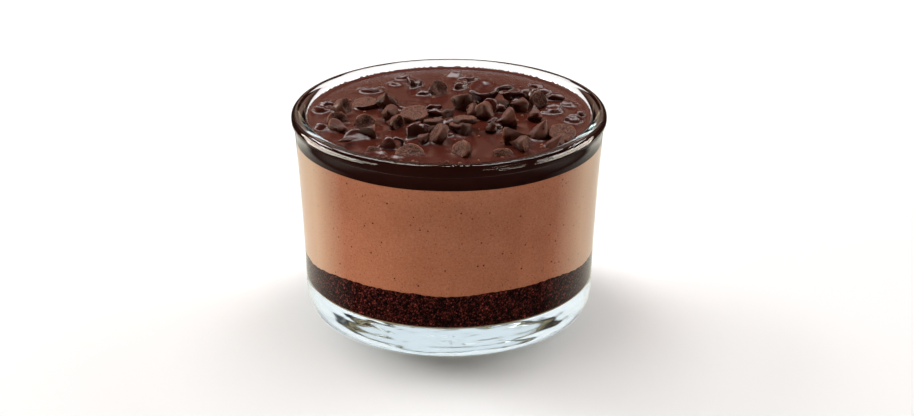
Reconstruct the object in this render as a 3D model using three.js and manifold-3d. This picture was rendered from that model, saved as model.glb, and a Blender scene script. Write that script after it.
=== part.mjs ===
// Chocolate mousse in a round glass cup.  A thick tapering glass holds a layer of brownie
// crumb, then mousse, then a poured ganache with chocolate chips sunk into it and heaped on it.
// Millimetres, +Z up.  The cup stands on z = 0 with its axis on the Z axis.

import * as THREE from 'three';
import { mergeVertices } from 'three/addons/utils/BufferGeometryUtils.js';
import Module from 'manifold-3d';

const wasm = await Module();
wasm.setup();

// The glass, from its foot to its rim.
const RIM_RADIUS = 40;            // outermost point of the rolled rim
const RIM_CREST = 52.45;          // height of the cup
const BEAD_HALF_WIDTH = 1.5;      // the rim's bead, out from its middle
const BEAD_RISE = 1.4;            // from the widest point up to the crest
const BEAD_DROP = 2.4;            // from the widest point down into the wall
const LIP_WIDTH = 2.5;            // from the crest in to the inner wall
const WALL_TOP_RADIUS = 39.24;    // outer wall where it meets the bead
const WALL_FOOT_RADIUS = 37.24;   // outer wall where the foot's curve starts
const WALL_FLARE = 1.48;          // above 1 the wall opens faster towards the rim
const FOOT_CURVE_HEIGHT = 6.7;
const FOOT_RADIUS = 35;           // outer edge of the flat ring that the cup stands on
const PUNT_RADIUS = 30;           // inner edge of that ring
const PUNT_DEPTH = 0.8;           // shallow dome under the cup
const WALL_THICKNESS = 3.2;
const FLOOR = 8.1;                // top of the thick glass floor
const FLOOR_CORNER = 3;           // radius between the floor and the inner wall

// What fills it.
const CRUMB_TOP = 16.4;
const MOUSSE_TOP = 45.3;
const GANACHE_LEVEL = 50.9;
const MENISCUS_TOP = 51.6;        // the ganache climbs the glass by this much
const MENISCUS_WIDTH = 1.6;
const GAP = 0.3;                  // kept between neighbouring solids

// How finely round things are cut.
const CUP_SIDES = 64;
const CHIP_SIDES = 10;

const BEAD_MIDDLE = RIM_RADIUS - BEAD_HALF_WIDTH;
const BEAD_WIDEST = RIM_CREST - BEAD_RISE;
const WALL_TOP = BEAD_WIDEST - BEAD_DROP;

// Chips, one a line: x, y, height of the middle of the flat base above the ganache, base
// diameter, length to the tip, and the way the tip points, as heading from +X and pitch up.
const CHIPS = [
  [-21.5, 6, 1.1, 7.1, 5.5, 0, -85],
  [-8.5, -5, 2.3, 7.8, 6, 70, -80],
  [-9.5, -29, 1.2, 7, 5.5, 90, -80],
  [28, -18.5, 1.7, 7.2, 5.5, 100, -75],
  [23, 3.5, 2.7, 5, 4.5, 110, -15],
  [22, -16, -0.2, 5.4, 5, 20, 80],
  [26.5, -22, -0.4, 5.4, 5, 20, 70],
  [3.5, 5, 2.4, 6.2, 5, -90, -35],
  [16.5, -9, 2.5, 5.4, 5, 190, -5],
  [13, -19.5, 1.9, 4.8, 6.5, -5, 0],
  [19, -26, 1.8, 4.4, 5, 150, -5],
  [2.5, -29, 1.6, 5.4, 4.5, 35, -40],
  [-4, -18, 1.9, 6.1, 3.5, 30, -40],
  [-12.5, -11, 1.5, 4.4, 4, 130, -10],
  [-20.5, -9, 1.1, 6.2, 4.5, 105, -70],
  [-17, -16.5, 1.5, 3.6, 6, 150, 0],
  [-18, -27, -0.2, 5.2, 4, 90, -50],
  [-28, -7.5, 1.2, 6, 4.5, 120, -60],
  [-29.5, -11, 1.4, 3.2, 6, -30, 0],
  [-26.5, 2, 1.1, 5, 4, 125, -35],
  [-15.5, 4, 1.2, 5, 4.5, -90, 50],
  [-15, -1.5, 1.2, 5, 4.5, -100, 30],
  [-3, 16.5, 0.9, 5.4, 4, 125, -45],
  [7.5, -1, 2.2, 5.6, 5.5, -20, -20],
  [21.5, -5, 0.2, 3.8, 4, 100, 65],
  [4, -11, 3.1, 5.6, 4.5, -90, -80],
  [3, -12, 1.9, 5.4, 4, -90, -80],
  [3.5, -13.5, 1, 4, 4, -90, -30],
  [-4, -11.5, 2.3, 5, 3.5, -80, -80],
  [13, -30.5, 0.1, 5.6, 4.5, 90, -50],
];

// Chips that the ganache has coated, in the same form.
const COATED_CHIPS = [
  [9, 9, 4.2, 8.2, 6.5, 80, -80],
  [16.5, 8.5, 3.8, 6.6, 5.5, 0, -80],
  [-7, -17, 1.8, 6, 5, 110, 5],
  [-12, -22, 0.9, 5, 5.5, 200, 0],
  [-24, -18.5, 0.4, 8, 5, 95, -50],
  [-21, 18, 0.6, 6.4, 4, -95, -70],
  [-9.5, 7.5, 1, 8, 5, -90, -80],
  [-10.5, 20.5, 0.7, 4.6, 4.5, 15, 10],
  [0, 27, 0.3, 4.6, 4, 60, -50],
  [32, -5, 1.2, 4.2, 4, 90, -35],
];

// Broken bits under the ganache: x, y, height of the middle above the ganache, width.
const LUMPS = [
  [-32, -10.5, 0.5, 3.5],
  [-30.5, 3.5, 0.6, 4.4],
  [-32.5, 0.5, 0.5, 4],
  [12, -10, 0.7, 3],
  [-0.5, -1, 1, 4.5],
  [-3.5, -1, 1, 4],
  [-4, 5, 0.5, 3],
  [4.5, 18.5, 0.9, 4.2],
  [17.5, 4, 1.3, 4.6],
  [22.5, 18.5, 1, 4.5],
  [25.5, 16.5, 0.9, 4],
  [27, 10, 0.9, 4],
  [13.5, 3.5, 0.9, 3.2],
  [26.5, 2.5, 0.2, 5.5],
  [30, 11, 0.1, 4.5],
  [-12.5, 28, 0.1, 4],
  [-15, 22.5, 0.1, 4],
  [-10.5, -21, 0.6, 3],
  [11.5, -3.5, 0.7, 2.8],
];

// Outer radius of the glass wall at a height above the foot's curve.
function wallRadius(z) {
  const rise = (z - FOOT_CURVE_HEIGHT) / (WALL_TOP - FOOT_CURVE_HEIGHT);
  return WALL_FOOT_RADIUS + (WALL_TOP_RADIUS - WALL_FOOT_RADIUS) * rise ** WALL_FLARE;
}

// Radius of the hollow less an inset, with the floor's rounded corner.
function hollowRadius(z, inset = 0) {
  const cornerTop = FLOOR + FLOOR_CORNER;
  if (z >= cornerTop) {
    return wallRadius(Math.min(z, WALL_TOP)) - WALL_THICKNESS - inset;
  }
  const middle = wallRadius(cornerTop) - WALL_THICKNESS - FLOOR_CORNER;
  const radius = FLOOR_CORNER - inset;
  return middle + Math.sqrt(Math.max(0, radius ** 2 - (cornerTop - z) ** 2));
}

// A profile of [radius, height] points turned round the Z axis.
function turned(profile, sides) {
  const points = profile.map(([radius, height]) => new THREE.Vector2(radius, height));
  return new THREE.LatheGeometry(points, sides).rotateX(Math.PI / 2);
}

function between(low, high, steps) {
  return Array.from({ length: steps + 1 }, (_, i) => low + (high - low) * i / steps);
}

// The cup's whole outline: under it, up the outside, over the rim, down inside to the floor.
function glassProfile() {
  const punt = between(0, PUNT_RADIUS, 3)
    .map((radius) => [radius, PUNT_DEPTH * (1 - (radius / PUNT_RADIUS) ** 2)]);
  const foot = between(0, Math.PI / 2, 4).map((turn) => [
    FOOT_RADIUS + (WALL_FOOT_RADIUS - FOOT_RADIUS) * Math.sin(turn),
    FOOT_CURVE_HEIGHT * (1 - Math.cos(turn)),
  ]);
  const beadFoot = -1.08;         // the bead leaves the wall at this angle
  const wallEnd = BEAD_WIDEST + BEAD_DROP * Math.sin(beadFoot);
  const wall = between(FOOT_CURVE_HEIGHT, wallEnd, 5).slice(1, -1)
    .map((z) => [wallRadius(z), z]);
  const beadUnder = between(beadFoot, 0, 3).map((turn) => [
    BEAD_MIDDLE + BEAD_HALF_WIDTH * Math.cos(turn),
    BEAD_WIDEST + BEAD_DROP * Math.sin(turn),
  ]);
  const beadOver = between(0, Math.PI / 2, 4).slice(1).map((turn) => [
    BEAD_MIDDLE + BEAD_HALF_WIDTH * Math.cos(turn),
    BEAD_WIDEST + BEAD_RISE * Math.sin(turn),
  ]);
  const lip = between(Math.PI / 2, Math.PI, 4).slice(1).map((turn) => [
    BEAD_MIDDLE + LIP_WIDTH * Math.cos(turn),
    BEAD_WIDEST + BEAD_RISE * Math.sin(turn),
  ]);
  const cornerTop = FLOOR + FLOOR_CORNER;
  const inside = between(WALL_TOP, cornerTop, 4).map((z) => [hollowRadius(z), z]);
  const corner = between(0, Math.PI / 2, 3).slice(1).map((turn) => [
    hollowRadius(cornerTop) - FLOOR_CORNER * (1 - Math.cos(turn)),
    cornerTop - FLOOR_CORNER * Math.sin(turn),
  ]);
  const outside = [...punt, ...foot, ...wall, ...beadUnder, ...beadOver];
  return [...outside, ...lip, ...inside, ...corner, [0, FLOOR]];
}

// Where two layers meet, the line wanders a little up and down round the cup.
const crumbWander = (turn) => 0.25 * Math.sin(turn + 0.6) + 0.2 * Math.sin(3 * turn);
const mousseWander = (turn) => 0.15 * Math.sin(2 * turn + 1) + 0.1 * Math.sin(5 * turn);
const level = () => 0;

// Tilts a layer's faces: each vertex moves by the wander of the face that it belongs to.
function wander(geometry, middleHeight, lower, upper) {
  const position = geometry.attributes.position;
  for (let i = 0; i < position.count; i += 1) {
    const radius = Math.hypot(position.getX(i), position.getY(i));
    const turn = Math.atan2(position.getY(i), position.getX(i));
    const face = position.getZ(i) < middleHeight ? lower : upper;
    position.setZ(i, position.getZ(i) + face(turn) * radius / WALL_TOP_RADIUS);
  }
  return geometry;
}

// A layer that fills the cup from one height to another, clear of the glass.
function layer(bottom, top, steps, lower, upper) {
  const side = between(bottom, top, steps).map((z) => [hollowRadius(z, GAP), z]);
  const geometry = turned([[0, bottom], ...side, [0, top]], CUP_SIDES);
  return wander(geometry, (bottom + top) / 2, lower, upper);
}

function ganacheLayer() {
  const bottom = MOUSSE_TOP + GAP;
  const edge = hollowRadius(GANACHE_LEVEL, GAP);
  const climb = MENISCUS_TOP - GANACHE_LEVEL;
  const meniscus = between(0, 1, 3).map((part) => [
    edge - MENISCUS_WIDTH * part,
    GANACHE_LEVEL + climb * (1 - part) ** 2,
  ]);
  const profile = [[0, bottom], [hollowRadius(bottom, GAP), bottom], ...meniscus, [0, GANACHE_LEVEL]];
  return wander(turned(profile, CUP_SIDES), (bottom + GANACHE_LEVEL) / 2, mousseWander, level);
}

// A geometry's triangles as a solid that can be joined and cut.
function toSolid(geometry) {
  const bare = geometry.clone();
  bare.deleteAttribute('normal');
  bare.deleteAttribute('uv');
  const merged = mergeVertices(bare);
  const corners = merged.index.array;
  const faces = [];
  for (let i = 0; i < corners.length; i += 3) {
    const [a, b, c] = corners.slice(i, i + 3);
    if (a !== b && b !== c && c !== a) {
      faces.push(a, b, c);
    }
  }
  return new wasm.Manifold(new wasm.Mesh({
    numProp: 3,
    vertProperties: Float32Array.from(merged.attributes.position.array),
    triVerts: Uint32Array.from(faces),
  }));
}

function toGeometry(solid) {
  const mesh = solid.getMesh();
  const geometry = new THREE.BufferGeometry();
  geometry.setAttribute('position', new THREE.BufferAttribute(mesh.vertProperties, 3));
  geometry.setIndex(new THREE.BufferAttribute(mesh.triVerts, 1));
  geometry.computeVertexNormals();
  return geometry;
}

// One chip: a flat round base, full shoulders and a drawn-out tip, for a base diameter and
// a length of 1.
const CHIP_PROFILE = [
  [0, 0], [0.46, 0], [0.5, 0.08], [0.46, 0.28], [0.32, 0.52], [0.13, 0.78], [0, 1],
];

function chip([x, y, lift, diameter, length, heading, pitch]) {
  const turn = THREE.MathUtils.degToRad(heading);
  const climb = THREE.MathUtils.degToRad(pitch);
  const tip = new THREE.Vector3(
    Math.cos(climb) * Math.cos(turn),
    Math.cos(climb) * Math.sin(turn),
    Math.sin(climb),
  );
  const pose = new THREE.Matrix4().compose(
    new THREE.Vector3(x, y, GANACHE_LEVEL + lift),
    new THREE.Quaternion().setFromUnitVectors(new THREE.Vector3(0, 0, 1), tip),
    new THREE.Vector3(diameter, diameter, length),
  );
  return toSolid(turned(CHIP_PROFILE, CHIP_SIDES).applyMatrix4(pose));
}

function lump([x, y, lift, width]) {
  const geometry = new THREE.IcosahedronGeometry(width / 2, 1)
    .rotateZ(x)
    .scale(1, 0.85, 0.65)
    .rotateZ(y)
    .translate(x, y, GANACHE_LEVEL + lift);
  return toSolid(geometry);
}

// The ganache with every chip joined to it.  Chips near the wall end short of the glass.
function ganacheWithChips() {
  const pieces = [...CHIPS, ...COATED_CHIPS].map(chip).concat(LUMPS.map(lump));
  const reach = hollowRadius(GANACHE_LEVEL, GAP) - 0.1;
  const bottom = MOUSSE_TOP + 1;
  const room = toSolid(turned([[0, bottom], [reach, bottom], [reach, 70], [0, 70]], CUP_SIDES));
  const heap = pieces.reduce((all, piece) => all.add(piece)).intersect(room);
  const parts = toSolid(ganacheLayer()).add(heap).decompose();
  return parts.reduce((all, part) => (part.volume() > all.volume() ? part : all));
}

function named(name, geometry, settings) {
  const mesh = new THREE.Mesh(geometry, new THREE.MeshStandardMaterial(settings));
  mesh.name = name;
  return mesh;
}

const cup = new THREE.Group();
cup.name = 'chocolate_mousse_cup';
cup.add(named('glass_cup', turned(glassProfile(), CUP_SIDES), {
  color: 0xdce8ea, roughness: 0.05, metalness: 0, transparent: true, opacity: 0.35,
}));
cup.add(named('brownie_crumb', layer(FLOOR + GAP, CRUMB_TOP, 6, level, crumbWander), {
  color: 0x2c120d, roughness: 0.8, metalness: 0,
}));
cup.add(named('mousse', layer(CRUMB_TOP + GAP, MOUSSE_TOP, 5, crumbWander, mousseWander), {
  color: 0x8a5440, roughness: 0.6, metalness: 0,
}));
cup.add(named('ganache_with_chips', toGeometry(ganacheWithChips()), {
  color: 0x46190f, roughness: 0.2, metalness: 0,
}));

export default cup;
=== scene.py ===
"""Chocolate mousse in a glass cup: brownie crumb, mousse and a poured ganache heaped with chips."""

import math
import random

import bmesh
import bpy
from mathutils import Matrix, Vector, noise
from mathutils.bvhtree import BVHTree


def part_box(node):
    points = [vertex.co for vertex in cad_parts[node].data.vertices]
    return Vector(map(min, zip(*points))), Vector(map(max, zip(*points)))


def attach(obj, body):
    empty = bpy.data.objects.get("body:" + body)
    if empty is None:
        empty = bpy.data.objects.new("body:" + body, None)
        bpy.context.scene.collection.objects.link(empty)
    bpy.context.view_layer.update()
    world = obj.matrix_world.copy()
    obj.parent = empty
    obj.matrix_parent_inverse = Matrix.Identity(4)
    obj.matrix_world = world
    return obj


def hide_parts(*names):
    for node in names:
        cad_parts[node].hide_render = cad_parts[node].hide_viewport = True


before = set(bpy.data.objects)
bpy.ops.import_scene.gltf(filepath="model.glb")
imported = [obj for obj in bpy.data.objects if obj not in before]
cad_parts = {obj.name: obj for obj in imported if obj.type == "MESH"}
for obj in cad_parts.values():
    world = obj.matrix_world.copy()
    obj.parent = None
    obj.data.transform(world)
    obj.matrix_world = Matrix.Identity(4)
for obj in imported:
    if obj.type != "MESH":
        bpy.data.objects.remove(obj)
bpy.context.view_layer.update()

# The vector noise is seeded from the clock unless it is given a seed.
noise.seed_set(3)

# ------------------------------------------------------------------------------- the glass cup
# A round dessert cup of soda-lime glass, pressed in a mould and fire-polished. The wall opens a
# little towards a rolled rim, and the heavy floor has a shallow dome pressed into its underside.
MM = 0.001
cup_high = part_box("glass_cup")[1]
rim_radius = cup_high.x
rim_crest = cup_high.z
bead_half_width = 1.2 * MM
bead_rise = 1.4 * MM
bead_drop = 2.1 * MM
bead_foot = -1.08
lip_width = 2.76 * MM
bead_middle = rim_radius - bead_half_width
bead_widest = rim_crest - bead_rise
wall_top_radius = 39.24 * MM
wall_foot_radius = 37.24 * MM
wall_top = bead_widest - bead_drop
wall_flare = 1.48
foot_curve_height = 6.7 * MM
foot_radius = 35 * MM
punt_radius = 30 * MM
punt_depth = 0.8 * MM
underside = punt_depth + 0.2 * MM
wall_thickness = 3.2 * MM
floor_top = 7.5 * MM
floor_corner = 0.8 * MM
corner_top = floor_top + floor_corner
cup_steps = 192

# Fire-polishing leaves faint lines round the rim, and ripples in both faces of the floor.
line_depth = 0.03 * MM
line_height = 0.35 * MM
lines_round = 2.5
floor_ripple = 0.055 * MM
ripple_width = 1.5 * MM
ripples_round = 2.2
ripple_fade = 4 * MM
upper_ripples = 9


def wall_radius(z):
    """Outer radius of the wall at a height above the foot's curve."""
    rise = (z - foot_curve_height) / (wall_top - foot_curve_height)
    return wall_foot_radius + (wall_top_radius - wall_foot_radius) * rise**wall_flare


def hollow_radius(z):
    """Inner radius of the cup, with the rounded corner at its floor."""
    if z >= corner_top:
        return wall_radius(min(z, wall_top)) - wall_thickness
    middle = wall_radius(corner_top) - wall_thickness - floor_corner
    return middle + math.sqrt(max(0, floor_corner**2 - (corner_top - z) ** 2))


def between(low, high, steps):
    """Evenly spaced values from low to high, both ends included."""
    return [low + (high - low) * i / steps for i in range(steps + 1)]


def from_front(turn):
    """The angle between a direction round the cup and its front."""
    return abs(math.remainder(turn + math.pi / 2, math.tau))


def smooth_step(share):
    """A ramp from 0 to 1 with soft ends."""
    share = min(max(share, 0), 1)
    return share * share * (3 - 2 * share)


def arc(middle, width, height, start, end, steps):
    """Points of (radius, height) on an ellipse about a middle, from one angle to another."""
    return [
        (middle[0] + width * math.cos(turn), middle[1] + height * math.sin(turn))
        for turn in between(start, end, steps)
    ]


def turned(profile, steps):
    """A closed skin: a profile of (radius, height) points spun round the Z axis."""
    bm = bmesh.new()
    line = [bm.verts.new((radius, 0, height)) for radius, height in profile]
    edges = [bm.edges.new(ends) for ends in zip(line, line[1:])]
    bmesh.ops.spin(
        bm, geom=line + edges, cent=(0, 0, 0), axis=(0, 0, 1),
        angle=math.tau, steps=steps, use_merge=True,
    )
    bmesh.ops.remove_doubles(bm, verts=bm.verts, dist=0.0005 * MM)
    bmesh.ops.recalc_face_normals(bm, faces=bm.faces)
    return bm


def finished(bm, name, *materials):
    """The mesh as a smooth object of its own, at the origin, with its materials."""
    mesh = bpy.data.meshes.new(name)
    bm.to_mesh(mesh)
    bm.free()
    mesh.shade_smooth()
    for material in materials:
        mesh.materials.append(material)
    piece = bpy.data.objects.new(name, mesh)
    bpy.context.scene.collection.objects.link(piece)
    return piece


def linear(colour):
    """An sRGB hex colour as linear red, green, blue and alpha."""
    shares = [int(colour[i : i + 2], 16) / 255 for i in (1, 3, 5)]
    return [s / 12.92 if s <= 0.04045 else ((s + 0.055) / 1.055) ** 2.4 for s in shares] + [1]


def add_node(tree, kind, settings=None, links=None):
    """Adds a node. Settings go to sockets or properties, links join sockets to what feeds them."""
    node = tree.nodes.new(kind)
    for name, value in (settings or {}).items():
        if isinstance(name, int) or name in node.inputs:
            node.inputs[name].default_value = value
        else:
            setattr(node, name, value)
    for name, source in (links or {}).items():
        tree.links.new(source, node.inputs[name])
    return node


def new_material(name):
    """An empty node material, and its tree."""
    material = bpy.data.materials.new(name)
    material.use_nodes = True
    material.node_tree.nodes.clear()
    return material, material.node_tree


glass_outline = [
    *[(r, punt_depth * (1 - (r / punt_radius) ** 2)) for r in between(0, punt_radius, 40)],
    *arc((foot_radius, foot_curve_height), wall_foot_radius - foot_radius, foot_curve_height,
         -math.pi / 2, 0, 14),
    *[(wall_radius(z), z) for z in between(foot_curve_height, wall_top, 18)[1:-1]],
    *arc((bead_middle, bead_widest), bead_half_width, bead_drop, bead_foot, 0, 22),
    *arc((bead_middle, bead_widest), bead_half_width, bead_rise, 0, math.pi / 2, 18)[1:],
    *arc((bead_middle, bead_widest), lip_width, bead_rise, math.pi / 2, math.pi, 12)[1:],
    *[(hollow_radius(z), z) for z in between(wall_top, corner_top, 14)],
    *arc((hollow_radius(corner_top) - floor_corner, corner_top), floor_corner, floor_corner,
         0, -math.pi / 2, 8)[1:],
    *[(r, floor_top) for r in between(hollow_radius(floor_top), 0, 40)[1:]],
]
bm = turned(glass_outline, cup_steps)
for vert in bm.verts:
    radius = vert.co.xy.length
    if vert.co.z > wall_top and radius > bead_middle:
        around = vert.co.xy.normalized() * lines_round
        line = noise.noise(Vector((around.x, around.y, vert.co.z / line_height)))
        vert.co.xy *= 1 + line_depth * line / radius
    under = radius < punt_radius and vert.co.z < underside
    over = radius < hollow_radius(floor_top) and abs(vert.co.z - floor_top) < 0.01 * MM
    if under or over:
        around = vert.co.xy.normalized() * ripples_round
        row = radius / ripple_width + upper_ripples * over
        ripple = noise.noise(Vector((around.x, around.y, row)))
        inward = smooth_step((punt_radius - radius) / ripple_fade)
        vert.co.z += floor_ripple * ripple * inward

# Polished soda-lime glass, a few millimetres thick: bright edges, and a faint green-blue where
# the eye looks along the wall. Lamps reach the food through it, as they do through real glass.
# The dome under the cup is slightly worn, which softens what is seen through the floor.
polished_roughness = 0.0
worn_roughness = 0.05
depth_tint = "#6fc7e0"
tint_strength = 5.0
glasses = []
for name, roughness in (
    ("soda_lime_glass_pressed", polished_roughness),
    ("soda_lime_glass_worn", worn_roughness),
):
    glass, tree = new_material(name)
    body = add_node(tree, "ShaderNodeBsdfPrincipled", {
        "Base Color": linear("#ffffff"), "Roughness": roughness, "IOR": 1.5,
        "Transmission Weight": 1.0,
    })
    clear = add_node(tree, "ShaderNodeBsdfTransparent", {"Color": (0.95, 0.95, 0.95, 1)})
    path = add_node(tree, "ShaderNodeLightPath")
    mixed = add_node(tree, "ShaderNodeMixShader", links={
        0: path.outputs["Is Shadow Ray"], 1: body.outputs[0], 2: clear.outputs[0],
    })
    depth = add_node(tree, "ShaderNodeVolumeAbsorption", {
        "Color": linear(depth_tint), "Density": tint_strength,
    })
    add_node(tree, "ShaderNodeOutputMaterial", links={
        "Surface": mixed.outputs[0], "Volume": depth.outputs[0],
    })
    glasses.append(glass)

for face in bm.faces:
    middle = face.calc_center_median()
    face.material_index = int(middle.z < underside and middle.xy.length < punt_radius)
cup = finished(bm, "glass", *glasses)
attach(cup, "root")
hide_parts("glass_cup")

# --------------------------------------------------------------------------- the brownie crumb
# Baked brownie, crumbled and pressed into the cup in a layer a finger's width thin. Its grains,
# a bit over half a millimetre wide, lie against the glass with dark gaps between them.
crumb_air = 0.06 * MM
crumb_low = floor_top + crumb_air
crumb_top = 16.4 * MM
grain = 0.6 * MM
grain_relief = 0.45 * MM
grain_gap = 0.45
outer_grains = 0.4 * MM
relief_fade = 1.2 * MM
top_unevenness = 0.25 * MM
crumb_steps = 880


def crumb_wander(turn):
    """How far the top of the crumb rises and falls round the cup. It slumps at both sides."""
    side = from_front(turn)
    slump = 0.7 * smooth_step(side / 0.35) - 2.2 * smooth_step((side - 0.73) / 0.56)
    return (0.25 * math.sin(turn + 0.6) + 0.2 * math.sin(3 * turn) + slump) * MM


# On the flat floor it lies on its highest grains, with air between. In the corner and along the
# wall it is pressed against the glass.
crumb_reach = 0.12 * MM
corner_middle = hollow_radius(corner_top) - floor_corner
crumb_outline = [
    *[(r, crumb_low) for r in between(0, corner_middle - 0.5 * MM, 6)],
    *arc((corner_middle, corner_top), floor_corner + crumb_reach, floor_corner + crumb_reach,
         -math.pi / 2, 0, 16),
    *[(hollow_radius(z) + crumb_reach, z) for z in between(corner_top, crumb_top, 24)[1:]],
    *[(r, crumb_top) for r in between(hollow_radius(crumb_top) - 1 * MM, 0, 6)],
]
bm = turned(crumb_outline, crumb_steps)
grain_layer = bm.verts.layers.float.new("grain")
for vert in bm.verts:
    radius = vert.co.xy.length
    turn = math.atan2(vert.co.y, vert.co.x)
    distances, centres = noise.voronoi(vert.co / grain)
    body = smooth_step((distances[1] - distances[0]) / grain_gap)
    size = 0.5 + 0.5 * noise.cell(centres[0] * 5.7)
    vert[grain_layer] = body
    if radius > hollow_radius(vert.co.z) - outer_grains:
        depth = smooth_step((vert.co.z - crumb_low) / relief_fade)
        vert.co.xy *= (radius + grain_relief * body * size * depth) / radius
    rise = (vert.co.z - crumb_low) / (crumb_top - crumb_low)
    ragged = top_unevenness * noise.noise(Vector((math.cos(turn), math.sin(turn), 0)) * 26)
    vert.co.z += (crumb_wander(turn) * radius / wall_top_radius + ragged) * rise

# Moist dark cocoa crumb, torn rather than cut: dull and red-brown, each grain a tone of its own.
# Shade is painted in: each grain darkens towards its edge and the gaps are nearly black, where
# little light gets in. Light is painted pale tan on its underside against the glass floor.
crumb_finish, tree = new_material("brownie_crumb_torn")
grains = add_node(tree, "ShaderNodeAttribute", {"attribute_name": "grain"})
place = add_node(tree, "ShaderNodeTexCoord")
fine = add_node(tree, "ShaderNodeTexNoise", {"Scale": 1 / (0.4 * MM), "Detail": 3.0}, {
    "Vector": place.outputs["Object"],
})
cells = add_node(tree, "ShaderNodeTexVoronoi", {"Scale": 1 / (0.5 * MM)}, {
    "Vector": place.outputs["Object"],
})
lit = add_node(tree, "ShaderNodeMapRange", {"From Min": 0.45, "From Max": 0.95}, {
    "Value": cells.outputs["Color"],
})
tone = add_node(tree, "ShaderNodeMix", {
    "data_type": "RGBA", 6: linear("#260806"), 7: linear("#c95c50"),
}, {0: lit.outputs[0]})
curls = add_node(tree, "ShaderNodeTexNoise", {
    "Scale": 1 / (0.8 * MM), "Detail": 1.0, "Distortion": 1.5,
}, {"Vector": place.outputs["Object"]})
off_curl = add_node(tree, "ShaderNodeMath", {"operation": "SUBTRACT", 1: 0.5}, {
    0: curls.outputs["Fac"],
})
nearness = add_node(tree, "ShaderNodeMath", {"operation": "ABSOLUTE"}, {0: off_curl.outputs[0]})
curl = add_node(tree, "ShaderNodeMapRange", {
    "From Min": 0.035, "From Max": 0.01, "To Max": 0.7,
}, {"Value": nearness.outputs[0]})
# Painted shade: each grain darkens towards its edge.
painted_grain_shade = add_node(tree, "ShaderNodeMapRange", {
    "From Min": 0.3, "From Max": 0.65, "To Min": 1.0, "To Max": 0.15,
}, {"Value": cells.outputs["Distance"]})
grain_shaded = add_node(tree, "ShaderNodeMix", {
    "data_type": "RGBA", "blend_type": "MULTIPLY", 0: 1.0,
}, {6: tone.outputs[2], 7: painted_grain_shade.outputs[0]})
curled = add_node(tree, "ShaderNodeMix", {"data_type": "RGBA", 7: linear("#b04c42")}, {
    0: curl.outputs[0], 6: grain_shaded.outputs[2],
})
# Painted shade: the gaps between grains are coloured nearly black.
gapped = add_node(tree, "ShaderNodeMix", {"data_type": "RGBA", 6: linear("#070101")}, {
    0: grains.outputs["Fac"], 7: curled.outputs[2],
})
# Painted light: the underside on the glass floor, which the lamps hardly reach, is coloured pale
# tan.
where = add_node(tree, "ShaderNodeSeparateXYZ", links={"Vector": place.outputs["Object"]})
foot = add_node(tree, "ShaderNodeMapRange", {
    "From Min": floor_top + 0.5 * MM, "From Max": floor_top + 0.3 * MM,
}, {"Value": where.outputs["Z"]})
underside_painted_light = add_node(tree, "ShaderNodeMix", {"data_type": "RGBA", 7: linear("#c4b08c")}, {
    0: foot.outputs[0], 6: gapped.outputs[2],
})
bump = add_node(tree, "ShaderNodeBump", {"Strength": 0.5, "Distance": 0.15 * MM}, {
    "Height": fine.outputs["Fac"],
})
skin = add_node(tree, "ShaderNodeBsdfPrincipled", {"Roughness": 0.5, "IOR": 1.03}, {
    "Base Color": underside_painted_light.outputs[2], "Normal": bump.outputs[0],
})
add_node(tree, "ShaderNodeOutputMaterial", links={"Surface": skin.outputs[0]})

crumb = finished(bm, "crumb", crumb_finish)
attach(crumb, "root")
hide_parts("brownie_crumb")

# ---------------------------------------------------------------------------------- the mousse
# Whipped milk-chocolate mousse, poured on the crumb and set. It is smooth against the glass,
# with pinhead air bubbles, whose hollows are painted dark as shade, and cocoa specks, and fills
# the wall from the crumb to the ganache.
mousse_overlap = 3.2 * MM
mousse_low = crumb_top - mousse_overlap
mousse_top = 45.3 * MM
mousse_reach = 0.06 * MM
mousse_round = 0.5 * MM
mousse_steps = 256


def mousse_wander(turn):
    """How far the line between mousse and ganache rises and falls round the cup."""
    sag = 0.35 * smooth_step(from_front(turn) / 0.6)
    return (0.15 * math.sin(2 * turn + 1) + 0.1 * math.sin(5 * turn) - sag) * MM


# It reaches down behind the uneven top of the crumb, and up into the ganache.
mousse_high = mousse_top + mousse_round
mousse_outline = [
    *[(r, mousse_low) for r in between(0, hollow_radius(mousse_low) - mousse_round, 4)],
    *[(hollow_radius(z) + mousse_reach, z) for z in between(mousse_low, mousse_high, 48)],
    *[(r, mousse_high) for r in between(hollow_radius(mousse_high) - mousse_round, 0, 4)],
]

# Aerated milk chocolate: satin, pale cocoa brown, faintly mottled, with fine dark specks of cocoa
# and painted shade in its pinhead bubbles. Painted shade runs from lighter at the crumb to darker
# at the ganache. At a slant a painted pale sheen lightens its colour, and at the steepest slant the
# film of fat between it and the glass turns to a mirror.
mousse_finish, tree = new_material("milk_chocolate_mousse_whipped")
place = add_node(tree, "ShaderNodeTexCoord")
clouds = add_node(tree, "ShaderNodeTexNoise", {"Scale": 1 / (9 * MM), "Detail": 3.0}, {
    "Vector": place.outputs["Object"],
})
tiny = add_node(tree, "ShaderNodeTexNoise", {"Scale": 1 / (0.45 * MM), "Detail": 2.0}, {
    "Vector": place.outputs["Object"],
})
dots = add_node(tree, "ShaderNodeTexVoronoi", {"Scale": 1 / (2.6 * MM)}, {
    "Vector": place.outputs["Object"],
})
speck = add_node(tree, "ShaderNodeMapRange", {
    "From Min": 0.07, "From Max": 0.11, "To Min": 1.0, "To Max": 0.0,
}, {"Value": dots.outputs["Distance"]})
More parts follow.
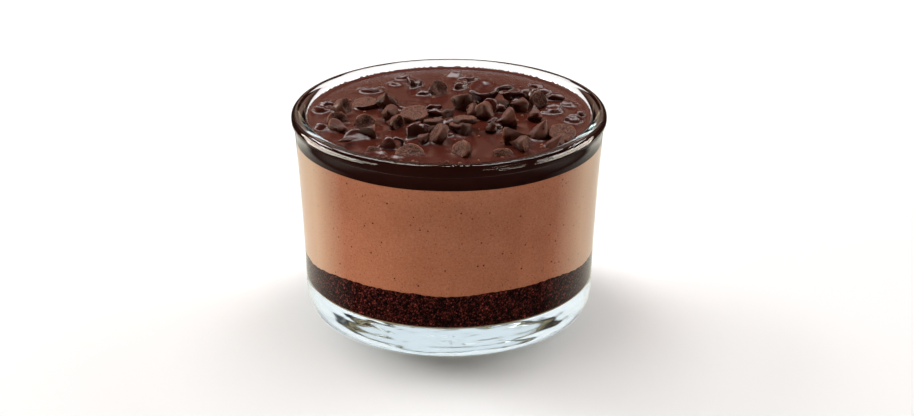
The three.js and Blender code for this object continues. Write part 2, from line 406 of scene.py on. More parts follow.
# Painted shade: the pinhead bubbles are only dark dots in the colour, with no hollows in the mesh.
pores = add_node(tree, "ShaderNodeTexVoronoi", {"Scale": 1 / (1.1 * MM)}, {
    "Vector": place.outputs["Object"],
})
bubble_shade = add_node(tree, "ShaderNodeMapRange", {
    "From Min": 0.08, "From Max": 0.18, "To Min": 0.6, "To Max": 0.0,
}, {"Value": pores.outputs["Distance"]})
specks_and_bubble_shade = add_node(tree, "ShaderNodeMath", {"operation": "MAXIMUM"}, {
    0: speck.outputs[0], 1: bubble_shade.outputs[0],
})
cloudy = add_node(tree, "ShaderNodeMix", {
    "data_type": "RGBA", 6: linear("#b46c4c"), 7: linear("#c27b5c"),
}, {0: clouds.outputs["Fac"]})
grainy = add_node(tree, "ShaderNodeMix", {
    "data_type": "RGBA", "blend_type": "SOFT_LIGHT", 0: 0.5,
}, {6: cloudy.outputs[2], 7: tiny.outputs["Fac"]})
specked = add_node(tree, "ShaderNodeMix", {"data_type": "RGBA", 7: linear("#42211a")}, {
    0: specks_and_bubble_shade.outputs[0], 6: grainy.outputs[2],
})
where = add_node(tree, "ShaderNodeSeparateXYZ", links={"Vector": place.outputs["Object"]})
# Painted light and shade: the colour is lighter near the crumb and darker near the ganache.
painted_shade_by_height = add_node(tree, "ShaderNodeMapRange", {
    "From Min": crumb_top, "From Max": mousse_top, "To Min": 1.14, "To Max": 0.8,
}, {"Value": where.outputs["Z"]})
height_shaded = add_node(tree, "ShaderNodeMix", {"data_type": "RGBA", "blend_type": "MULTIPLY", 0: 1.0}, {
    6: specked.outputs[2], 7: painted_shade_by_height.outputs[0],
})
# Painted sheen: the colour pales where the surface is seen at a slant.
facing = add_node(tree, "ShaderNodeLayerWeight", {"Blend": 0.5})
slanted = add_node(tree, "ShaderNodeMapRange", {
    "From Min": 0.17, "From Max": 0.25, "To Max": 0.48,
}, {"Value": facing.outputs["Facing"]})
painted_sheen = add_node(tree, "ShaderNodeMix", {"data_type": "RGBA", 7: linear("#ecd2b0")}, {
    0: slanted.outputs[0], 6: height_shaded.outputs[2],
})
skin = add_node(tree, "ShaderNodeBsdfPrincipled", {"Roughness": 0.5, "IOR": 1.05}, {
    "Base Color": painted_sheen.outputs[2],
})
mirror = add_node(tree, "ShaderNodeBsdfGlossy", {"Roughness": 0.02})
slant = add_node(tree, "ShaderNodeFresnel", {"IOR": 0.83})
sealed = add_node(tree, "ShaderNodeMixShader", links={
    0: slant.outputs[0], 1: skin.outputs[0], 2: mirror.outputs[0],
})
add_node(tree, "ShaderNodeOutputMaterial", links={"Surface": sealed.outputs[0]})

mousse = finished(turned(mousse_outline, mousse_steps), "mousse_fill", mousse_finish)
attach(mousse, "root")
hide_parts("mousse")

# ------------------------------------------------------------------------- the chocolate chips
# Moulded dark chocolate baking chips, dropped on the ganache while it was soft. Each has a flat
# round base, full shoulders and a drawn-out tip, and lies where it sank, pressed into the others.
level = 50.9 * MM
chip_steps = 56
glass_clear = hollow_radius(level) - 0.1 * MM

# Half outlines of a chip and of a flake: the radius as a share of the width, and the height as a
# share of the length.
chip_outline = [
    *[(0.05 * i, 0) for i in range(9)], (0.44, 0.004), (0.475, 0.02), (0.495, 0.055),
    (0.5, 0.11), (0.49, 0.19), (0.465, 0.28), (0.42, 0.38), (0.355, 0.48), (0.28, 0.58),
    (0.205, 0.68), (0.145, 0.77), (0.1, 0.85), (0.07, 0.91), (0.045, 0.96), (0, 1),
]
flake_outline = [
    *[(0.05 * i, 0) for i in range(9)], (0.44, 0.02), (0.475, 0.1), (0.495, 0.25), (0.5, 0.5),
    (0.495, 0.75), (0.475, 0.9), (0.44, 0.98), *[(0.05 * i, 1) for i in range(8, -1, -1)],
]
flake_length = 2.5
base_share = 0.03

# Chips aren't quite true: each is stretched a little, dented four times by its neighbours, and
# crumpled at three scales, each given by how fine it is and how deep, in millimetres.
stretches = (0.93, 1.07)
dents = 4
dent_reaches = (0.38, 0.5)
dent_depth = 0.8
crumple_size = 2.2 * MM
chip_crumples = ((1, 0.3), (2.9, 0.1), (6.5, 0.035))

# How far out the flat base ends, its edge is palest and its hollow ends, as shares of a chip's
# width.
base_end = 0.47
palest_edge = 0.48
hollow_end = 0.42

# The smears cover a chip's foot and thin out with every millimetre above the ganache.
smear_size = 1.5 * MM
smear_cover = 0.25
smear_thinning = 0.22
smear_edge = 0.2

# What the finish needs to know of each point of a chip: how far it is on the flat base, on the
# pale rim of it, whose colour is partly a painted highlight, how pale the chip is, and how wet
# with ganache.
chip_layers = ("base", "rim", "tone", "wet")

# One chip a line, in millimetres and degrees: x, y, height of the middle of its base above the
# ganache, width, length, heading and pitch of its tip, how deep its base is hollowed, as a share
# of its length, and how far its tip is drawn aside. Short ones are flakes that broke off.
chips = [
    (-21.4, 6, 1.2, 7.1, 5, 0, -84, 0, 0),
    (-8.7, -4.6, 2.4, 7.8, 5.5, 70, -79, 0, 0),
    (-9.5, -29.3, 0.5, 7, 5, 92, -56, 0, 0),
    (28, -18, 2.1, 7.2, 5.5, 100, -72, 0, 0),
    (23, 3.1, 2.8, 4.8, 4.6, 112, -18, 0, 0),
    (22, -16.8, -0.2, 5.5, 5.2, 20, 82, 0, 1.4),
    (25.7, -22.9, -0.6, 5, 4.2, 20, 75, 0, 1.3),
    (3.5, 4.3, 2.9, 6.2, 4.8, -82, -50, 0, 0.9),
    (16.4, -8.2, 2.4, 5.4, 5, 192, -14, 0, 0),
    (13.7, -20.1, 1.6, 4.9, 6.2, -14, 8, 0, 0.6),
    (18.9, -25.8, 1.7, 4.3, 5.2, 152, -8, 0, 0),
    (2.4, -28.7, 1.3, 5.6, 4.8, 40, -32, 0, 0),
    (-3.4, -19.3, 2.2, 6.2, 2.2, 13, -35, 0.1, 0),
    (-12.4, -10.5, 1.4, 4.6, 4.2, 140, -10, 0.3, 0),
    (-20.7, -9.9, 0.9, 6.2, 4.6, 100, -42, 0.1, 0),
    (-18, -16.1, 1.4, 3.9, 8.2, 184, -6, 0.5, 0),
    (-18.2, -27.6, -0.3, 5.4, 4, 92, -50, 0.2, 0),
    (-27.7, -7.7, 1, 5.6, 4.6, 118, -35, 0.1, 0),
    (-29.2, -11.1, 1.6, 3, 6.6, -38, -6, 0, 0),
    (-25.9, 0.8, 1.9, 5, 5.6, 160, -20, 0.2, 0),
    (-15.9, 4.7, 1, 5.2, 4.6, -90, 60, 0, 0),
    (-14.8, -3.2, 1.2, 4.9, 4.4, -102, 32, 0, 0),
    (-2.6, 14.4, 1.6, 5.2, 4.2, 122, -30, 0.1, 0),
    (8.1, -2.1, 2.4, 5.6, 5, -50, -28, 0, 0.4),
    (7.1, -2.5, 2, 4.4, 2.4, 170, -30, 0, 0),
    (21.7, -4.8, 0.6, 3.8, 3.6, 100, 62, 0, 0.3),
    (4.1, -11.1, 3.2, 5.8, 1.3, -100, -84, 0, 0),
    (2.9, -12.6, 2.3, 5.8, 1.2, -80, -80, 0, 0),
    (3.5, -13.5, 1.2, 4.8, 4.2, -92, -28, 0, 0),
    (-3.9, -10.9, 2.6, 5, 1.2, -70, -78, 0, 0),
    (12.9, -30.4, -0.1, 5.8, 4.5, 92, -46, 0.1, 0),
    (-1.1, -4.8, 1, 3.6, 3.4, 30, 30, 0, 0),
    (10.4, -13.4, 0.5, 3.4, 3, 60, 70, 0, 0.2),
    (-6.8, -20.7, 0.5, 3.2, 3, 10, 40, 0, 0),
    (18.9, 2.8, 1, 4.6, 4.2, 210, 20, 0, 0),
    (14.5, -8.8, 0.6, 4, 3.6, 60, 40, 0, 0),
]


def chip_body(row, swell, seed):
    """One chip in its place, with layers for its base, pale rim with its painted highlight, tone
    and wet smears.
    """
    x, y, lift, width, length, heading, pitch, hollow, drawn = row
    draw = random.Random(seed)
    outline = chip_outline if length > flake_length else flake_outline
    width = (width + swell) * MM
    length = (length + swell) * MM
    bm = turned([(r * width, h * length) for r, h in outline], chip_steps)
    base, rim, shade, wet = [bm.verts.layers.float.new(name) for name in chip_layers]
    climb = math.radians(pitch)
    turn = math.radians(heading)
    flat = math.cos(climb)
    tip = Vector((flat * math.cos(turn), flat * math.sin(turn), math.sin(climb)))
    rotation = tip.to_track_quat("Z", "Y").to_matrix()
    aside = rotation.transposed() @ Vector((drawn * MM, 0, 0))
    stretch = draw.uniform(*stretches)
    tone = draw.random()
    dented = []
    for _ in range(dents):
        angle = draw.uniform(0, math.tau)
        facing = Vector((math.cos(angle), math.sin(angle), draw.uniform(-0.3, 0.5))).normalized()
        dented.append((facing, draw.uniform(*dent_reaches) * width))
    for vert in bm.verts:
        out = vert.co.xy.length / width
        share = vert.co.z / length
        vert[base] = smooth_step((base_end - out) / 0.05) * (share < base_share)
        vert[rim] = smooth_step(1 - abs(out - palest_edge) / 0.03) * smooth_step(1 - share / 0.1)
        vert[shade] = tone
        sample = vert.co / crumple_size + Vector((seed * 7.3, seed * 3.1, seed))
        if share < base_share:
            vert.co.z += (0.02 + hollow) * length * smooth_step(1 - out / hollow_end)
        for facing, reach in dented:
            past = vert.co.dot(facing) - reach
            if past > 0:
                vert.co -= facing * past * dent_depth
        for fineness, depth in chip_crumples:
            vert.co += noise.noise_vector(sample * fineness) * depth * MM
        vert.co += aside * share**2
        vert.co.x *= stretch
    bm.transform(Matrix.Translation((x * MM, y * MM, level + lift * MM)) @ rotation.to_4x4())
    for vert in bm.verts:
        radius = vert.co.xy.length
        if radius > glass_clear:
            vert.co.xy *= glass_clear / radius
        height = (vert.co.z - level) / MM
        smear = smear_cover + noise.noise(vert.co / smear_size) - smear_thinning * height
        vert[wet] = smooth_step(smear / smear_edge) * (1 - 0.85 * vert[base])
    return bm


def put_together(bodies, layers=()):
    """Several bmeshes as one, with their float layers of these names."""
    whole = bmesh.new()
    for name in layers:
        whole.verts.layers.float.new(name)
    for bm in bodies:
        mesh = bpy.data.meshes.new("part")
        bm.to_mesh(mesh)
        bm.free()
        whole.from_mesh(mesh)
        bpy.data.meshes.remove(mesh)
    return whole


lump_flatness = 0.75
lump_size = 1.4 * MM
lump_crumples = ((1, 0.16), (2.7, 0.07))


def lump_body(x, y, lift, width, length, heading, seed, divisions):
    """A rough lump: a squat ball, stretched and crumpled."""
    bm = bmesh.new()
    bmesh.ops.create_icosphere(bm, subdivisions=divisions, radius=0.5 * MM)
    bmesh.ops.scale(bm, vec=(length, width, width * lump_flatness), verts=bm.verts)
    for vert in bm.verts:
        sample = vert.co / lump_size + Vector((seed * 5.1, seed, 0))
        for fineness, depth in lump_crumples:
            vert.co += noise.noise_vector(sample * fineness) * depth * width * MM
    turn = Matrix.Rotation(math.radians(heading), 3, "Z")
    bmesh.ops.rotate(bm, matrix=turn, verts=bm.verts)
    bmesh.ops.translate(bm, vec=(x * MM, y * MM, level + lift * MM), verts=bm.verts)
    return bm


# Crumbs of chocolate that came off the chips, strewn among them. Every fifth lies along the front
# of the cup. They are half as sandy as a chip's base, and nearly as pale as its rim, with its
# painted highlight.
crumbs = 70
crumbs_out = 34.3
draw = random.Random(4)
strewn = []
for seed in range(crumbs):
    x, y = chips[seed % len(chips)][:2]
    width = draw.uniform(0.4, 0.9)
    place = Vector((x + draw.uniform(-5, 5), y + draw.uniform(-5, 4)))
    if seed % 5 == 0:
        angle = draw.uniform(-2.1, -1.35)
        place = Vector((math.cos(angle), math.sin(angle))) * draw.uniform(32.5, crumbs_out)
    place *= min(1, crumbs_out / place.length)
    lump = (place.x, place.y, 0.12 * width, width, width * 1.3, draw.uniform(0, 180))
    bm = lump_body(*lump, seed, 2)
    for name, share in (("base", 0.5), ("rim", 0.9)):
        layer = bm.verts.layers.float.new(name)
        for vert in bm.verts:
            vert[layer] = share
    strewn.append(bm)

heap = put_together([chip_body(row, 0, i) for i, row in enumerate(chips)], chip_layers)
chip_skins = BVHTree.FromBMesh(heap)
heap = put_together([heap, *strewn], chip_layers)

# Tempered dark chocolate as it leaves a belt: satin shoulders, a duller sandy base that was
# against the belt, a paler edge between them, partly an orange tint and partly a painted
# highlight, in patches, and wet smears of ganache low down.
chip_finish, tree = new_material("dark_chocolate_chips_moulded")
place = add_node(tree, "ShaderNodeTexCoord")
bases, rims, tones, smears = [
    add_node(tree, "ShaderNodeAttribute", {"attribute_name": name}) for name in chip_layers
]
sand = add_node(tree, "ShaderNodeTexNoise", {"Scale": 1 / (0.35 * MM), "Detail": 3.0}, {
    "Vector": place.outputs["Object"],
})
patches = add_node(tree, "ShaderNodeTexNoise", {"Scale": 1 / (2.5 * MM), "Detail": 2.0}, {
    "Vector": place.outputs["Object"],
})
shoulder = add_node(tree, "ShaderNodeMix", {
    "data_type": "RGBA", 6: linear("#452114"), 7: linear("#653726"),
}, {0: tones.outputs["Fac"]})
grains = add_node(tree, "ShaderNodeMapRange", {"From Min": 0.4, "From Max": 0.62}, {
    "Value": sand.outputs["Fac"],
})
sandy = add_node(tree, "ShaderNodeMix", {
    "data_type": "RGBA", 6: linear("#35190f"), 7: linear("#835442"),
}, {0: grains.outputs[0]})
based = add_node(tree, "ShaderNodeMix", {"data_type": "RGBA"}, {
    0: bases.outputs["Fac"], 6: shoulder.outputs[2], 7: sandy.outputs[2],
})
# The pale edge is partly the chip's own tint and partly a painted highlight, broken into patches.
worn = add_node(tree, "ShaderNodeMapRange", {"From Min": 0.35, "From Max": 0.6}, {
    "Value": patches.outputs["Fac"],
})
edge = add_node(tree, "ShaderNodeMath", {"operation": "MULTIPLY"}, {
    0: rims.outputs["Fac"], 1: worn.outputs[0],
})
edge_tint_and_highlight = add_node(tree, "ShaderNodeMix", {"data_type": "RGBA", 7: linear("#a8653f")}, {
    0: edge.outputs[0], 6: based.outputs[2],
})
smeared = add_node(tree, "ShaderNodeMix", {"data_type": "RGBA", 7: linear("#42180e")}, {
    0: smears.outputs["Fac"], 6: edge_tint_and_highlight.outputs[2],
})
dull = add_node(tree, "ShaderNodeMapRange", {"To Min": 0.5, "To Max": 0.75}, {
    "Value": bases.outputs["Fac"],
})
glossed = add_node(tree, "ShaderNodeMix", {"data_type": "FLOAT", 3: 0.16}, {
    0: smears.outputs["Fac"], 2: dull.outputs[0],
})
bump = add_node(tree, "ShaderNodeBump", {"Strength": 0.5, "Distance": 0.1 * MM}, {
    "Height": sand.outputs["Fac"],
})
skin = add_node(tree, "ShaderNodeBsdfPrincipled", {"IOR": 1.46, "Specular IOR Level": 0.3}, {
    "Base Color": smeared.outputs[2], "Roughness": glossed.outputs[0], "Normal": bump.outputs[0],
})
add_node(tree, "ShaderNodeOutputMaterial", links={"Surface": skin.outputs[0]})

dry_chips = finished(heap, "dry_chips", chip_finish)
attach(dry_chips, "root")

# --------------------------------------------------------------------------------- the ganache
# Warm ganache poured over the mousse and set glossy. It climbs a little up the glass and up each
# chip that it touches, and coats the chips and broken bits that went under it.
meniscus_top = 51.5 * MM
meniscus_width = 1.6 * MM
ganache_reach = 0.12 * MM
ganache_low = 49.2 * MM
ganache_edge = 0.12 * MM
voxel = 0.275 * MM

# How high it climbs a chip that lies on it and one that lies under it, in millimetres, and how
# far from them the climb can be seen.
dry_climb = 0.5
dry_reach = 0.8 * MM
sunk_climb = 0.25
sunk_reach = 1.1 * MM
climb_limit = 0.7
climb_top = 1.2 * MM
climb_patches = 4 * MM
swell_height = 0.025
swell_size = 8 * MM
coat = 0.3
coat_crumple = 0.08 * MM
coat_crumple_size = 2 * MM
smoothings = 5

# The chips that it coats, in the same order as the dry ones.
coated_chips = [
    (8.9, 8.5, 4.4, 8.2, 6, 80, -79, 0, 0),
    (16.6, 8.4, 3.9, 6.6, 5, 10, -80, 0, 0),
    (-7.9, -17.5, 1.2, 5.4, 5, 112, -10, 0, 0),
    (-13.6, -23.3, 1, 5, 5, 205, -10, 0, 0),
    (-22.6, -18.8, 0.3, 6.6, 3, 100, -52, 0, 0),
    (-20.5, 18.5, 0.3, 6.6, 3, -95, -74, 0, 0),
    (-9.6, 5.7, 0.9, 8.4, 2.4, -92, -82, 0, 0),
    (-10.8, 20.6, 0.5, 4.4, 4, 20, 10, 0, 0),
    (1.1, 27.6, 0.3, 4.8, 4, 60, -50, 0, 0),
    (10, -2.3, 3, 4.4, 4.2, 60, -30, 0, 0),
    (18.2, 7, 2.2, 5, 4.6, 30, 20, 0, 0),
]

# Broken bits and ridges of ganache that they dragged along, one a line: x, y, height of the
# middle above the ganache, width, length, and the heading of the length.
broken_bits = [
    (-31.8, -10.5, 0.5, 3.2, 3.6, 30),
    (-31, 5.3, 0.5, 3.4, 5.2, 20),
    (-32.7, 1.6, 0.5, 3, 4.4, -10),
    (11.3, -6.2, 0.7, 2.6, 3.2, 60),
    (-1.2, -10.1, 1.1, 3.4, 4.6, -20),
    (0.3, -9.2, 1.3, 3, 4, 30),
    (-3.2, -1.6, 1, 2.8, 5, 10),
    (-3.8, 3.3, 0.7, 2.2, 4.6, 8),
    (3.2, 20.2, 0.8, 3.2, 5.6, 60),
    (4.9, 25.1, 0.6, 2.6, 6.2, 20),
    (17.5, 3.8, 1.6, 3.6, 5, -30),
    (22.5, 16.6, 1.1, 3.6, 5, -20),
    (25.1, 13.4, 1, 3.2, 5, -45),
    (27.7, 10.5, 0.8, 2.4, 5.4, -15),
    (13.1, 2, 0.9, 3, 3.4, 0),
    (26.2, 1.1, 0.1, 3.6, 6.6, 8),
    (26.5, 3.8, 0.5, 2.6, 5.2, 10),
    (30.8, 6.4, 0.1, 3, 4.8, -30),
    (-14.3, 22.4, 0.1, 2.6, 3.6, -30),
    (-12, 26.7, 0.2, 2.6, 4.4, 10),
    (-7.9, 22, 0.3, 2.4, 3.2, -60),
    (-8.8, -13.7, 2.2, 1.6, 6.4, 48),
    (-6.2, -15.1, 2.6, 1.4, 3.6, -10),
    (-5.4, -15.2, 1.7, 1.3, 3, -80),
    (-14.6, -22.9, 1.5, 1.2, 5.6, 50),
    (-12.3, -22.2, 1.9, 1.3, 4.2, -50),
    (-11, -23, 0.9, 1.4, 4, -70),
    (10.9, -9.1, 1.4, 1.4, 3.6, 15),
    (11.7, -11.9, 1, 2.6, 3.2, 0),
    (14.4, 8.4, 4.3, 1.8, 5, 30),
    (16.1, 4.7, 4, 1.4, 6, 5),
    (13.9, 5.5, 3.7, 1.8, 2.6, 0),
    (21.9, 11.2, 2.2, 1.8, 4.2, 35),
    (33.2, -1.2, 0.6, 2.2, 3.4, -70),
    (-4.7, 17.2, 0.9, 2.4, 5.6, 50),
    (-6.5, 14.4, 0.5, 2.4, 4, 20),
    (-25.1, -21.4, 1.2, 1.6, 5, 35),
    (-0.5, -15.4, 0.2, 2.6, 4.4, 20),
    (31.4, -5.2, 0.2, 4.4, 4.6, 0),
]


def ganache_wall(z):
    """Radius of the ganache where it meets the glass."""
    return hollow_radius(z) + ganache_reach


def smoothed(bm, times):
    """Draws each point halfway to the middle of its neighbours, a number of times."""
    for _ in range(times):
        bmesh.ops.smooth_vert(
            bm, verts=bm.verts, factor=0.5, use_axis_x=True, use_axis_y=True, use_axis_z=True,
        )


sunk = [chip_body(row, coat, 50 + i) for i, row in enumerate(coated_chips)]
sunk = put_together(sunk + [lump_body(*row, i, 4) for i, row in enumerate(broken_bits)])
for vert in sunk.verts:
    vert.co += noise.noise_vector(vert.co / coat_crumple_size) * coat_crumple
sunk_skins = BVHTree.FromBMesh(sunk)

# The pour and what lies in it are fused into one skin, cut off flat below the surface, and then
# smoothed. The skin rises where it wets a chip.
pour_low = ganache_low - 1 * MM
wall = ganache_wall(level)
climb = meniscus_top - level
pour = turned([
    (0, pour_low), (wall, pour_low),
    *[(wall - meniscus_width * s, level + climb * (1 - s) ** 2) for s in between(0, 1, 8)],
    (0, level),
], cup_steps)
rough = finished(put_together([pour, sunk]), "ganache_rough")
remesh = rough.modifiers.new("voxels", "REMESH")
remesh.mode = "VOXEL"
remesh.voxel_size = voxel
depsgraph = bpy.context.evaluated_depsgraph_get()
fused = bpy.data.meshes.new_from_object(rough.evaluated_get(depsgraph))
bpy.data.objects.remove(rough)
bm = bmesh.new()
bm.from_mesh(fused)
bmesh.ops.bisect_plane(
    bm, geom=bm.verts[:] + bm.edges[:] + bm.faces[:], dist=0, plane_co=(0, 0, ganache_low),
    plane_no=(0, 0, 1), clear_inner=True,
)
smoothed(bm, smoothings)
for vert in bm.verts:
    height = vert.co.z - level
    if height > -0.5 * MM:
        near_dry = chip_skins.find_nearest(vert.co)[3]
        near_sunk = sunk_skins.find_nearest(vert.co)[3]
        low_down = smooth_step(1 - height / climb_top)
        rise = dry_climb * math.exp(-near_dry / dry_reach)
        rise += sunk_climb * math.exp(-near_sunk / sunk_reach)
        rise *= 0.4 + smooth_step(0.5 + 1.2 * noise.noise(vert.co / climb_patches))
        roll = swell_height * noise.noise(vert.co / swell_size)
        vert.co.z += (min(rise, climb_limit) + roll) * low_down * MM
smoothed(bm, 1)
for vert in bm.verts:
    radius = vert.co.xy.length
    limit = ganache_wall(vert.co.z)
    if radius > limit - ganache_edge:
        vert.co.xy *= limit / radius

# Its side is drawn down along the glass to the line where it meets the mousse, and closed there.
rim_edges = [edge for edge in bm.edges if edge.is_boundary]
skirt = bmesh.ops.extrude_edge_only(bm, edges=rim_edges)["geom"]
skirt_edges = [item for item in skirt if isinstance(item, bmesh.types.BMEdge) and item.is_boundary]
for vert in {vert for edge in skirt_edges for vert in edge.verts}:
    vert.co.z = mousse_top + mousse_wander(math.atan2(vert.co.y, vert.co.x))
    vert.co.xy *= ganache_wall(vert.co.z) / vert.co.xy.length
bmesh.ops.edgeloop_fill(bm, edges=skirt_edges)
bmesh.ops.recalc_face_normals(bm, faces=bm.faces)

# Cream and dark chocolate, cooled: nearly black red-brown, wet-looking, with a soft edge to
# every highlight.
ganache_finish, tree = new_material("ganache_poured")
place = add_node(tree, "ShaderNodeTexCoord")
swirl = add_node(tree, "ShaderNodeTexNoise", {"Scale": 1 / (5 * MM), "Detail": 3.0}, {
    "Vector": place.outputs["Object"],
})
tint = add_node(tree, "ShaderNodeMix", {
    "data_type": "RGBA", 6: linear("#44180e"), 7: linear("#521f12"),
}, {0: swirl.outputs["Fac"]})
skin = add_node(tree, "ShaderNodeBsdfPrincipled", {"Roughness": 0.26, "IOR": 1.47}, {
    "Base Color": tint.outputs[2],
})
add_node(tree, "ShaderNodeOutputMaterial", links={"Surface": skin.outputs[0]})

# The same ganache where it lies against the glass: no air between them, so no shine of its own.
pressed_finish, tree = new_material("ganache_against_glass")
skin = add_node(tree, "ShaderNodeBsdfPrincipled", {
    "Base Color": linear("#240b07"), "Roughness": 0.3, "IOR": 1.05,
})
add_node(tree, "ShaderNodeOutputMaterial", links={"Surface": skin.outputs[0]})

for face in bm.faces:
    middle = face.calc_center_median()
    on_glass = middle.xy.length > ganache_wall(middle.z) - 0.1 * MM and abs(face.normal.z) < 0.5
    face.material_index = int(on_glass)
ganache = finished(bm, "ganache_poured", ganache_finish, pressed_finish)
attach(ganache, "root")
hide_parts("ganache_with_chips")

# --------------------------------------------------------------------- floor, lights and camera
# The cup stands on a matt white table. Two soft boxes hang over it and reach back, a short one
# stands behind each side, and a long low one lies at each side. Cards that show only in shiny
# faces draw the cream lines along the rolled rim.
table_half = 3
table_drop = 0.1 * MM
table_white = (0.9, 0.9, 0.9, 1)
bm = bmesh.new()
bmesh.ops.create_grid(bm, x_segments=1, y_segments=1, size=table_half)
bmesh.ops.translate(bm, vec=(0, 0, -table_drop), verts=bm.verts)
table_finish, tree = new_material("white_table_matte")
skin = add_node(tree, "ShaderNodeBsdfPrincipled", {
    "Base Color": table_white, "Roughness": 0.9, "Specular IOR Level": 0.0,
})
add_node(tree, "ShaderNodeOutputMaterial", links={"Surface": skin.outputs[0]})
table = finished(bm, "table", table_finish)

# Shiny faces look through the table to the cards that are set below its top, for the underside
# of the rim, and to the room, which has the table's light in it.
table.visible_glossy = False
white = (1, 1, 1)
cream_card = (1, 0.9, 0.78)


def soft_box(name, place, width, depth, power, colour=white, mirrored=False):
    """A soft box in its place, aimed at the cup, or a card that only shows in shiny faces."""
    lamp = bpy.data.lights.new(name, "AREA")
    lamp.color = colour
    lamp.shape = "RECTANGLE"
    lamp.size = width
    lamp.size_y = depth
    lamp.energy = power
    box = bpy.data.objects.new(name, lamp)
    box.location = place
    box.visible_diffuse = not mirrored
    box.visible_transmission = not mirrored
    box.rotation_euler = (-Vector(place)).to_track_quat("-Z", "Y").to_euler()
    bpy.context.scene.collection.objects.link(box)


soft_box("box_over_left", (-0.26, 0.3, 0.86), 0.3, 0.6, 4.6)
soft_box("box_over_right", (0.26, 0.3, 0.86), 0.3, 0.6, 3.5)
soft_box("strip_left", (-0.62, 0.42, 0.6), 0.3, 0.2, 2.4)
soft_box("strip_right", (0.62, 0.42, 0.6), 0.3, 0.15, 1)
soft_box("box_left", (-0.72, -0.2, 0.13), 0.7, 0.24, 2.3, (0.97, 1, 0.9))
soft_box("box_right", (0.75, -0.03, 0.13), 0.7, 0.24, 2.0, (1, 0.99, 0.93))
soft_box("card_left", (-0.72, 0.08, 0.1), 0.8, 0.24, 5.0, cream_card, True)
soft_box("card_right", (0.72, 0.1, 0.1), 0.6, 0.24, 3.0, cream_card, True)
soft_box("card_front", (0.52, -0.58, 0.46), 0.3, 0.1, 0.5, (1, 0.97, 0.92), True)
soft_box("low_card_left", (-0.72, 0.02, -0.15), 0.8, 0.22, 4.5, cream_card, True)
soft_box("low_card_right", (0.72, 0.02, -0.15), 0.8, 0.22, 3.5, cream_card, True)
soft_box("low_card_front", (0.58, -0.72, -0.19), 0.5, 0.24, 1.8, (1, 0.92, 0.82), True)

# The room round the table, by direction: X to the right, Y to the back and Z up.
table_line = -0.37
room_dark = 0.03
world = bpy.data.worlds.new("studio")
bpy.context.scene.world = world
world.use_nodes = True
tree = world.node_tree
tree.nodes.clear()
place = add_node(tree, "ShaderNodeTexCoord")
way = add_node(tree, "ShaderNodeSeparateXYZ", links={"Vector": place.outputs["Generated"]})
path = add_node(tree, "ShaderNodeLightPath")

# What shiny faces mirror of the table: it is bright towards the back, and dark in the cup's own
# shade, where they look steeply down, but for a little light from the sides.
under = add_node(tree, "ShaderNodeMath", {"operation": "LESS_THAN", 1: table_line}, {
    0: way.outputs["Z"],
})
around = add_node(tree, "ShaderNodeMapRange", {
    "From Min": -0.2, "From Max": 0.9, "To Max": 0.8,
}, {"Value": way.outputs["Y"]})
steep = add_node(tree, "ShaderNodeMapRange", {
    "From Min": -0.56, "From Max": -0.5, "To Min": 0.05,
}, {"Value": way.outputs["Z"]})
skirting = add_node(tree, "ShaderNodeMath", {"operation": "MULTIPLY"}, {
    0: around.outputs[0], 1: steep.outputs[0],
})
off_side = add_node(tree, "ShaderNodeMath", {"operation": "SUBTRACT", 1: 0.3}, {
    0: way.outputs["Y"],
})
beside = add_node(tree, "ShaderNodeMath", {"operation": "ABSOLUTE"}, {0: off_side.outputs[0]})
nearer = add_node(tree, "ShaderNodeMapRange", {"From Min": 0.6, "From Max": 0.1}, {
    "Value": beside.outputs[0],
})
nearest = add_node(tree, "ShaderNodeMath", {"operation": "POWER", 1: 2.0}, {0: nearer.outputs[0]})
deeper = add_node(tree, "ShaderNodeMapRange", {
    "From Min": -0.56, "From Max": -0.66, "To Max": 0.15,
}, {"Value": way.outputs["Z"]})
table_lit = add_node(tree, "ShaderNodeMath", {"operation": "MULTIPLY_ADD"}, {
    0: nearest.outputs[0], 1: deeper.outputs[0], 2: skirting.outputs[0],
})

# What they mirror of the backdrop: its foot, as a band that widens and dims to both sides.
behind = add_node(tree, "ShaderNodeMapRange", {
    "interpolation_type": "SMOOTHSTEP", "From Min": 0.3, "From Max": 0.6,
}, {"Value": way.outputs["Y"]})
aside = add_node(tree, "ShaderNodeMath", {"operation": "MULTIPLY"}, {
    0: way.outputs["X"], 1: way.outputs["X"],
})
arched = add_node(tree, "ShaderNodeMath", {"operation": "MULTIPLY_ADD", 1: -8.0}, {
    0: aside.outputs[0], 2: way.outputs["Z"],
})
low = add_node(tree, "ShaderNodeMapRange", {"From Min": 0.357, "From Max": 0.317}, {
    "Value": arched.outputs[0],
})
lifted = add_node(tree, "ShaderNodeMapRange", {
    "From Min": 0.24, "From Max": 0.3, "To Max": 0.85,
}, {"Value": way.outputs["Z"]})
veil = add_node(tree, "ShaderNodeMath", {"operation": "MULTIPLY"}, {
    0: low.outputs[0], 1: lifted.outputs[0],
})
narrow = add_node(tree, "ShaderNodeMapRange", {
    "From Min": 0.02, "From Max": 0.12, "To Min": 1.0, "To Max": 0.3,
}, {"Value": aside.outputs[0]})
banded = add_node(tree, "ShaderNodeMath", {"operation": "MULTIPLY"}, {
    0: veil.outputs[0], 1: narrow.outputs[0],
})

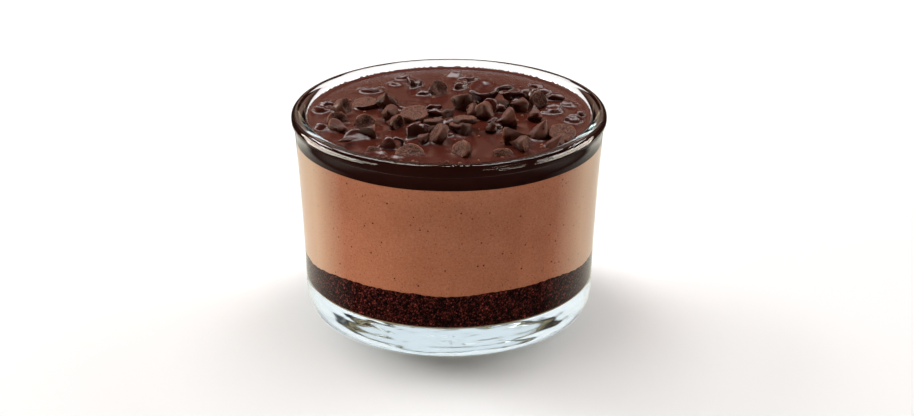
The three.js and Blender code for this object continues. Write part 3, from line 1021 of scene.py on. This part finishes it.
# What comes through the glass: a backdrop that reaches round both sides and dims overhead, and a
# faint low light from all round.
lower = add_node(tree, "ShaderNodeMapRange", {
    "interpolation_type": "SMOOTHSTEP", "From Min": 0.64, "From Max": 0.57, "To Min": 0.35,
}, {"Value": way.outputs["Z"]})
sideways = add_node(tree, "ShaderNodeMapRange", {
    "interpolation_type": "SMOOTHSTEP", "From Min": -0.1, "From Max": 0.2,
}, {"Value": way.outputs["Y"]})
flanked = add_node(tree, "ShaderNodeMapRange", {
    "From Min": 0.5, "From Max": 0.3, "To Max": 0.35,
}, {"Value": way.outputs["Z"]})
flank = add_node(tree, "ShaderNodeMath", {"operation": "MULTIPLY"}, {
    0: path.outputs["Is Transmission Ray"], 1: flanked.outputs[0],
})

# The strength of all that.
height = add_node(tree, "ShaderNodeMix", {"data_type": "FLOAT"}, {
    0: path.outputs["Is Transmission Ray"], 2: banded.outputs[0], 3: lower.outputs[0],
})
reach = add_node(tree, "ShaderNodeMix", {"data_type": "FLOAT"}, {
    0: path.outputs["Is Transmission Ray"], 2: behind.outputs[0], 3: sideways.outputs[0],
})
straight = add_node(tree, "ShaderNodeMath", {"operation": "MULTIPLY"}, {
    0: reach.outputs[0], 1: height.outputs[0],
})
backdrop = add_node(tree, "ShaderNodeMath", {"operation": "MAXIMUM"}, {
    0: straight.outputs[0], 1: flank.outputs[0],
})
sides = add_node(tree, "ShaderNodeMix", {"data_type": "FLOAT"}, {
    0: under.outputs[0], 2: backdrop.outputs[0], 3: table_lit.outputs[0],
})
dark = add_node(tree, "ShaderNodeMath", {"operation": "MAXIMUM", 1: room_dark}, {
    0: sides.outputs[0],
})

# Its colour: in shiny faces the backdrop is warm and the table cream, and through the glass the
# backdrop is white where it is bright and sand-coloured elsewhere.
warm = add_node(tree, "ShaderNodeMix", {
    "data_type": "RGBA", 6: (1, 0.45, 0.33, 1), 7: (1, 0.63, 0.48, 1),
}, {0: low.outputs[0]})
cream = add_node(tree, "ShaderNodeMix", {"data_type": "RGBA", 7: (1, 0.97, 0.84, 1)}, {
    0: under.outputs[0], 6: warm.outputs[2],
})
bright = add_node(tree, "ShaderNodeMapRange", {"From Min": 0.35, "From Max": 0.9}, {
    "Value": lower.outputs[0],
})
whiter = add_node(tree, "ShaderNodeMath", {"operation": "MULTIPLY"}, {
    0: sideways.outputs[0], 1: bright.outputs[0],
})
sanded = add_node(tree, "ShaderNodeMix", {
    "data_type": "RGBA", 6: (1, 0.93, 0.76, 1), 7: (1, 1, 1, 1),
}, {0: whiter.outputs[0]})
tint = add_node(tree, "ShaderNodeMix", {"data_type": "RGBA"}, {
    0: path.outputs["Is Transmission Ray"], 6: cream.outputs[2], 7: sanded.outputs[2],
})
sky = add_node(tree, "ShaderNodeBackground", links={
    "Color": tint.outputs[2], "Strength": dark.outputs[0],
})
add_node(tree, "ShaderNodeOutputWorld", links={"Surface": sky.outputs[0]})

# A short telephoto lens, half a metre off, that looks down on the cup by 23 degrees.
camera_data = bpy.data.cameras.new("camera")
camera_data.lens = 79.89
camera_data.sensor_width = 36
camera_data.shift_x = 0.00876
camera_data.shift_y = -0.00488
camera = bpy.data.objects.new("camera", camera_data)
camera.location = (0, -0.4837, 0.23019)
camera.rotation_euler = (math.radians(67.136), 0, 0)
bpy.context.scene.collection.objects.link(camera)
bpy.context.scene.camera = camera

scene = bpy.context.scene
scene.view_settings.view_transform = "Standard"
scene.cycles.max_bounces = 24
scene.cycles.transmission_bounces = 24
scene.cycles.use_denoising = True
